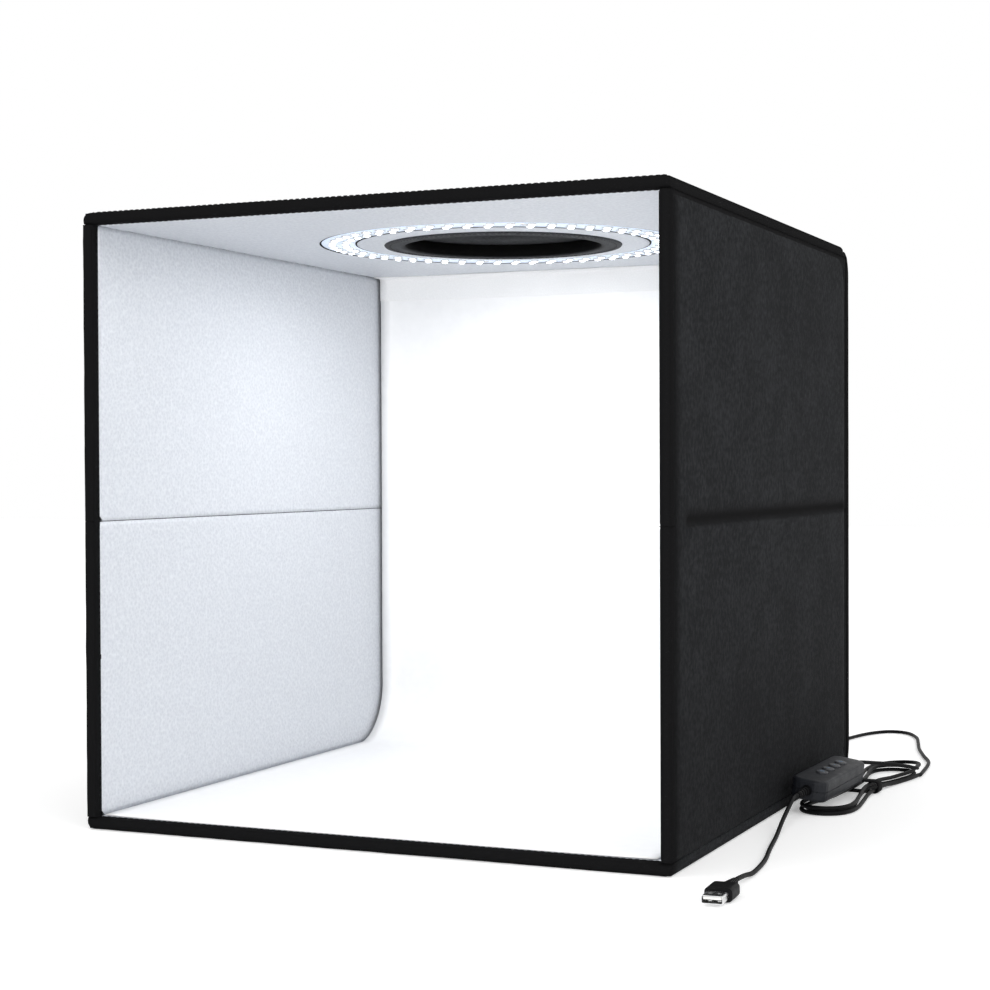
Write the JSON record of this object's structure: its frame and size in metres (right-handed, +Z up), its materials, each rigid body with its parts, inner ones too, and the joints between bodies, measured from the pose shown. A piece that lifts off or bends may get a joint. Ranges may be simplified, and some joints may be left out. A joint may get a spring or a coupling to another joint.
{
  "type": "light tent cube",
  "caption": "Folding light tent cube with an open front, ring light round a ceiling window, hanging backdrop sheet and a lead with an in-line dimmer.",
  "frame": {"origin": "centre of the box's base, on the surface that it stands on, measured without the lead", "axes": "+Z up, the open front faces -Y, the right side wall is at +X"},
  "size_m": [0.4578, 0.7112, 0.4023],
  "materials": {
    "black_cloth": "finely woven black cover cloth",
    "black_tape": "black woven edge tape",
    "fibre_board": "stiff fibre board",
    "silver_liner": "crinkled silver-white reflective cloth",
    "white_sheet": "matt white plastic sheet",
    "hanger_cloth": "pale hook-and-loop strip",
    "ring_light": "white circuit board with small lamps",
    "black_plastic": "matt moulded",
    "black_rubber": "satin soft moulding",
    "green_circuit": "circuit board",
    "button_plastic": "matt moulded buttons",
    "white_plastic": "moulded",
    "plated_steel": "bright plated sheet steel"
  },
  "bodies": {
    "base": {"base_edge_tape": "black_tape", "base_core_board": "fibre_board", "base_outer_cloth": "black_cloth", "base_liner": "silver_liner", "backdrop_sheet": "white_sheet", "lead_outlet_sleeve": "black_rubber", "lead_rear_run": "black_rubber", "lead_hank": "black_rubber", "lead_link_run": "black_rubber", "lead_front_run": "black_rubber", "hank_tie": "black_tape", "dimmer_lower_shell": "black_plastic", "dimmer_upper_shell": "black_plastic", "dimmer_circuit": "green_circuit", "dimmer_rear_sleeve": "black_rubber", "dimmer_front_sleeve": "black_rubber", "plug_body": "black_rubber", "plug_shell": "plated_steel", "plug_tongue": "white_plastic"},
    "left_lower": {"left_lower_edge_tape": "black_tape", "left_lower_core_board": "fibre_board", "left_lower_outer_cloth": "black_cloth", "left_lower_liner": "silver_liner"},
    "left_upper": {"left_upper_edge_tape": "black_tape", "left_upper_core_board": "fibre_board", "left_upper_outer_cloth": "black_cloth", "left_upper_liner": "silver_liner"},
    "right_lower": {"right_lower_edge_tape": "black_tape", "right_lower_core_board": "fibre_board", "right_lower_outer_cloth": "black_cloth", "right_lower_liner": "silver_liner"},
    "right_upper": {"right_upper_edge_tape": "black_tape", "right_upper_core_board": "fibre_board", "right_upper_outer_cloth": "black_cloth", "right_upper_liner": "silver_liner"},
    "top": {"top_edge_tape": "black_tape", "top_core_board": "fibre_board", "top_outer_cloth": "black_cloth", "top_liner": "silver_liner", "ceiling_liner_disc": "silver_liner", "window_collar": "black_cloth", "ring_light_board": "ring_light", "backdrop_hanger": "hanger_cloth", "flap_hinge_tape": "black_tape"},
    "window_flap": {"window_flap": "black_cloth", "flap_pull_tab": "black_tape"},
    "back": {"back_edge_tape": "black_tape", "back_core_board": "fibre_board", "back_outer_cloth": "black_cloth", "back_liner": "silver_liner", "left_closure_tab": "black_tape", "right_closure_tab": "black_tape"},
    "button_power": {"button_power": "button_plastic"},
    "button_brighter": {"button_brighter": "button_plastic"},
    "button_dimmer": {"button_dimmer": "button_plastic"},
    "button_colour": {"button_colour": "button_plastic"}
  },
  "joints": [
    {"name": "left_lower_fold", "type": "hinge", "parent": "base", "child": "left_lower", "pos_m": [-0.1916, 0, 0.0084], "axis": [0, 1, 0], "range_deg": [0, 88], "deforming": ["backdrop_sheet", "backdrop_hanger"]},
    {"name": "left_upper_fold", "type": "hinge", "parent": "left_lower", "child": "left_upper", "pos_m": [-0.2004, 0, 0.2], "axis": [0, 1, 0], "range_deg": [-176, 0]},
    {"name": "top_fold", "type": "hinge", "parent": "left_upper", "child": "top", "pos_m": [-0.1916, 0, 0.3916], "axis": [0, 1, 0], "range_deg": [0, 88]},
    {"name": "right_lower_fold", "type": "hinge", "parent": "base", "child": "right_lower", "pos_m": [0.1916, 0, 0.0084], "axis": [0, 1, 0], "range_deg": [-88, 0]},
    {"name": "right_upper_fold", "type": "hinge", "parent": "right_lower", "child": "right_upper", "pos_m": [0.2004, 0, 0.2], "axis": [0, 1, 0], "range_deg": [0, 176]},
    {"name": "back_open", "type": "hinge", "parent": "base", "child": "back", "pos_m": [0, 0.2139, 0], "axis": [-1, 0, 0], "range_deg": [0, 80]},
    {"name": "window_flap_open", "type": "hinge", "parent": "top", "child": "window_flap", "pos_m": [0, 0.096, 0.4023], "axis": [-1, 0, 0], "range_deg": [0, 175]},
    {"name": "button_power_press", "type": "slide", "parent": "base", "child": "button_power", "axis": [-0.137, 0.0358, -0.9899], "range_m": [0, 0.0009], "stiffness_N_per_m": 500},
    {"name": "button_brighter_press", "type": "slide", "parent": "base", "child": "button_brighter", "axis": [-0.137, 0.0358, -0.9899], "range_m": [0, 0.0009], "stiffness_N_per_m": 500},
    {"name": "button_dimmer_press", "type": "slide", "parent": "base", "child": "button_dimmer", "axis": [-0.137, 0.0358, -0.9899], "range_m": [0, 0.0009], "stiffness_N_per_m": 500},
    {"name": "button_colour_press", "type": "slide", "parent": "base", "child": "button_colour", "axis": [-0.137, 0.0358, -0.9899], "range_m": [0, 0.0009], "stiffness_N_per_m": 500}
  ],
  "couplings": [
    {"joint": "left_upper_fold", "follows": "left_lower_fold", "ratio": -2},
    {"joint": "top_fold", "follows": "left_lower_fold", "ratio": 1},
    {"joint": "right_lower_fold", "follows": "left_lower_fold", "ratio": -1},
    {"joint": "right_upper_fold", "follows": "left_lower_fold", "ratio": 2}
  ]
}
